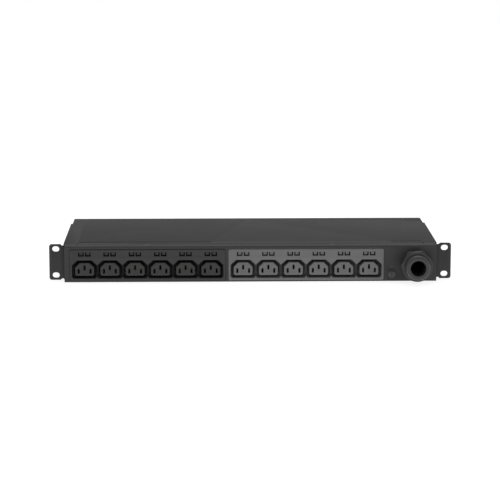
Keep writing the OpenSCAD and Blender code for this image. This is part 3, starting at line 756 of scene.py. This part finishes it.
@dataclass
class CableGland:
    """Cable gland: body, seal, locknut, rubber sleeve, slip ring and dome nut."""

    rounding: float = 0.2 * MM
    seal_rounding: float = 0.35 * MM
    sleeve_rounding: float = 0.5 * MM
    steps: int = 128
    arc_steps: int = 8
    skirt_step: float = 1.95 * MM
    skirt_edge: float = 0.8 * MM
    skirt_break: tuple[float, float] = (0.25 * MM, 0.2 * MM)
    rim_front: float = 8.4 * MM
    rim_height: float = 3.2 * MM
    rim_round: float = 0.5 * MM
    rim_break: tuple[float, float] = (0.3 * MM, 0.8 * MM)
    rim_slope: float = 1.1 * MM
    groove: float = 0.25 * MM
    dome_radius: float = 15.4 * MM
    dome_foot: float = 0.2 * MM
    shoulder_radius: float = 14.2 * MM
    shoulder_height: float = 2.2 * MM
    shoulder_steps: int = 12
    shoulder_start: int = 2
    flat_radius: float = 12.1 * MM
    hole_radius: float = 9.25 * MM
    mouth: float = 0.25 * MM
    mouth_steps: int = 4
    front_wall: float = 2.7 * MM
    bore_radius: float = 13.55 * MM
    bore_mouth: float = 0.6 * MM
    thread_runout: float = 2 * MM
    thread_pitch: float = 1.5 * MM
    thread_depth: float = 0.45 * MM

    def build(self) -> list[Piece]:
        """Builds the gland's pieces."""
        nylon, rubber, strip = Finishes.GLAND, Finishes.SEAL, Body.STRIP
        return [
            softened_copy("gland_body", "gland_thread_body", nylon, strip, self.rounding),
            softened_copy("gland_locknut", "gland_back_nut", nylon, strip, self.rounding),
            softened_copy("gland_face_seal", "gland_flat_seal", rubber, strip, self.seal_rounding, 3),
            softened_copy(
                "gland_seal_sleeve", "gland_rubber_sleeve", rubber, strip, self.sleeve_rounding, 3
            ),
            softened_copy("gland_slip_ring", "gland_ring", nylon, Body.SLIP_RING, self.rounding),
            self.dome_nut(),
        ]

    def dome_nut(self) -> Piece:
        """Spins the dome nut: skirt, wider rim, groove, sloping front and inner thread."""
        low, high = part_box("gland_dome_nut")
        centre = Vector(((low.x + high.x) / 2, high.y, (low.z + high.z) / 2))
        rim = (high.x - low.x) / 2
        length = high.y - low.y
        profile = [*self.outline(rim, length), *self.inside(length)]
        turned = [(radius, -height) for radius, height in profile]
        piece = Bench.spin("gland_dome", turned, centre, Axis.Y, self.steps)
        return finish_piece(piece, Finishes.GLAND, Body.DOME_NUT, "gland_dome_nut")

    def outline(self, rim: float, length: float) -> list[tuple[float, float]]:
        """Gives the nut's outer profile.

        Args:
            rim: Radius of the rim.
            length: Length of the nut.

        Returns:
            Radius and height of each corner, from the back edge to the front face.
        """
        skirt, under = rim - self.skirt_step, self.rim_front - self.rim_height
        inward, upward = self.skirt_break
        points = [(skirt - self.skirt_edge, 0.0), (skirt - inward, upward), (skirt, self.skirt_edge)]
        inward, upward = self.rim_break
        points += [(skirt, under), (rim - inward, under + upward), (rim, under + self.rim_slope)]
        front, dome, edge = self.rim_front, self.dome_radius, self.rim_round
        for step in range(self.arc_steps + 1):
            turn = math.pi / 2 * step / self.arc_steps
            points.append((rim - edge + edge * math.cos(turn), front - edge + edge * math.sin(turn)))
        points += [(dome + self.groove, front), (dome, front - self.groove)]
        points.append((dome, front + self.dome_foot))
        for step in range(self.shoulder_start, self.shoulder_steps + 1):
            turn = math.pi / 2 * step / self.shoulder_steps
            radius = self.flat_radius + (self.shoulder_radius - self.flat_radius) * math.cos(turn)
            points.append((radius, length - self.shoulder_height * (1 - math.sin(turn))))
        return points

    def inside(self, length: float) -> list[tuple[float, float]]:
        """Gives the nut's inner profile: mouth, cord opening, chamber and thread grooves.

        Args:
            length: Length of the nut.

        Returns:
            Radius and height of each corner, from the front face to the back edge.
        """
        hole, bore = self.hole_radius, self.bore_radius
        points = [(hole + self.mouth, length)]
        for step in range(1, self.mouth_steps + 1):
            turn = math.pi / 2 * step / self.mouth_steps
            radius = hole + self.mouth * (1 - math.sin(turn))
            points.append((radius, length - self.mouth * (1 - math.cos(turn))))
        wall = length - self.front_wall
        points += [(hole, wall), (bore, wall)]
        height = wall - self.thread_runout
        while height > self.thread_runout:
            points += [(bore, height), (bore + self.thread_depth, height - self.thread_pitch / 2)]
            height -= self.thread_pitch
        points += [(bore, height), (bore, self.bore_mouth), (bore + self.bore_mouth, 0.0)]
        return points


@dataclass
class EarthPoint:
    """Earth screw with its washer, its clinch nut and its printed mark."""

    rounding: float = 0.18 * MM
    flat_rounding: float = 0.12 * MM
    mark_height: float = 9.2 * MM
    ink: float = 0.04 * MM
    line: float = 0.35 * MM
    bars: tuple[float, ...] = (2.6 * MM, 1.7 * MM, 0.8 * MM)
    gap: float = 0.8 * MM
    stem: float = 1.5 * MM

    def build(self) -> list[Piece]:
        """Builds the earth point's pieces."""
        black, strip = Finishes.BLACKED, Body.STRIP
        return [
            softened_copy("earth_screw", "earth_slotted_screw", black, strip, self.rounding, 3),
            softened_copy("earth_washer", "earth_flat_washer", black, strip, self.flat_rounding),
            softened_copy("earth_clinch_nut", "earth_panel_nut", Finishes.ZINC, strip, self.flat_rounding),
            self.mark(),
        ]

    def mark(self) -> Piece:
        """Prints the earth mark above the screw: a stem and shrinking bars."""
        low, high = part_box("earth_washer")
        x, z = (low.x + high.x) / 2, (low.z + high.z) / 2 + self.mark_height
        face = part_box("base_tray")[0].y
        back, front = face + self.ink / 2, face - self.ink / 2
        parts = [Bench.box("stem", (x - self.line / 2, front, z), (x + self.line / 2, back, z + self.stem))]
        for index, width in enumerate(self.bars):
            top = z - index * self.gap
            parts.append(
                Bench.box("bar", (x - width / 2, front, top - self.line), (x + width / 2, back, top))
            )
        piece = Bench.soften(Bench.join("earth_mark", parts), self.ink / 4, 1)
        return finish_piece(piece, Finishes.MARK, Body.STRIP)


@dataclass(frozen=True)
class Softbox:
    """One square light that faces the strip; metres and watts."""

    name: str
    place: Point
    size: float
    power: float


@dataclass
class Studio:
    """Pale floor, soft lights and the camera."""

    camera_place: Point = (-0.05013, -2.34184, 0.45973)
    yaw: float = -1.2128
    pitch: float = -10.7788
    lens: float = 143.5
    sensor: float = 36.0
    floor_half: float = 4.0
    sky: float = 0.5
    backdrop: float = 1.0
    floor_colour: Colour = (0.5, 0.5, 0.5)
    floor_glow: float = 0.8
    softboxes: tuple[Softbox, ...] = (
        Softbox("left_light", (-1.7, -1.3, 0.35), 0.9, 6.0),
        Softbox("right_light", (1.8, -1.1, 0.3), 0.9, 7.0),
        Softbox("back_light", (0.3, 1.6, 1.9), 1.6, 5.0),
    )

    def build(self) -> None:
        """Builds the stage."""
        self.floor()
        self.lights()
        self.camera()

    def camera(self) -> None:
        """Adds the camera at its place and angle."""
        data = bpy.data.cameras.new("camera")
        data.lens, data.sensor_width = self.lens, self.sensor
        camera = bpy.data.objects.new("camera", data)
        camera.location = self.camera_place
        camera.rotation_euler = (math.radians(90 + self.pitch), 0.0, math.radians(self.yaw))
        bpy.context.scene.collection.objects.link(camera)
        bpy.context.scene.camera = camera

    def floor(self) -> None:
        """Adds the floor just under the strip."""
        bpy.ops.object.select_all(action="DESELECT")
        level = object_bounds()[0].z
        bpy.ops.mesh.primitive_plane_add(size=2 * self.floor_half, location=(0.0, 0.0, level))
        floor = Bench.name(bpy.context.view_layer.objects.active, "floor")
        floor.data.materials.append(self.floor_material())
        floor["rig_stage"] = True

    def floor_material(self) -> bpy.types.Material:
        """Makes the floor's matt white finish, which glows a little so that it stays pale."""
        mix = Palette("pale_floor")
        mix.fix("Base Color", (*self.floor_colour, 1.0))
        mix.fix("Roughness", 0.9)
        mix.fix("Emission Color", (1.0, 1.0, 1.0, 1.0))
        mix.fix("Emission Strength", self.floor_glow)
        return mix.material

    def lights(self) -> None:
        """Sets the sky and three large soft lights."""
        bpy.context.scene.world = self.studio_sky()
        for softbox in self.softboxes:
            self.light(softbox)
        bpy.context.scene.view_settings.view_transform = "Standard"

    def studio_sky(self) -> bpy.types.World:
        """Makes a dim even sky behind a white backdrop.

        Returns:
            The world.
        """
        world = bpy.data.worlds.new("studio_sky")
        world.use_nodes = True
        tree = world.node_tree
        background = tree.nodes["Background"]
        background.inputs["Color"].default_value = (1.0, 1.0, 1.0, 1.0)
        strength = tree.nodes.new("ShaderNodeMapRange")
        strength.inputs["To Min"].default_value = self.sky
        strength.inputs["To Max"].default_value = self.backdrop
        rays = tree.nodes.new("ShaderNodeLightPath")
        tree.links.new(rays.outputs["Is Camera Ray"], strength.inputs["Value"])
        tree.links.new(strength.outputs["Result"], background.inputs["Strength"])
        return world

    def light(self, softbox: Softbox) -> None:
        """Adds one of the lights, turned to the strip."""
        data = bpy.data.lights.new(softbox.name, "AREA")
        data.size, data.energy = softbox.size, softbox.power
        light = bpy.data.objects.new(softbox.name, data)
        light.location = softbox.place
        light.rotation_euler = (-Vector(softbox.place)).to_track_quat("-Z", "Y").to_euler()
        bpy.context.scene.collection.objects.link(light)


def report(pieces: Iterable[Piece]) -> None:
    """Logs the name of every piece of a sub-assembly."""
    for piece in pieces:
        LOG.info("placed %s", piece.name)


def main() -> None:
    """Builds the stage and every sub-assembly."""
    logging.basicConfig(level=logging.INFO, format="%(name)s: %(message)s")
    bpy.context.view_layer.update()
    Studio().build()
    assemblies = (
        Chassis(),
        RackEars(),
        OutletBank("left", Finishes.DARK_FACE, Finishes.HOUSING),
        OutletBank("right", Finishes.GREY_FACE, Finishes.GREY_HOUSING),
        Wiring(),
        CableGland(),
        EarthPoint(),
    )
    for assembly in assemblies:
        report(assembly.build())


if __name__ == "__main__":
    main()
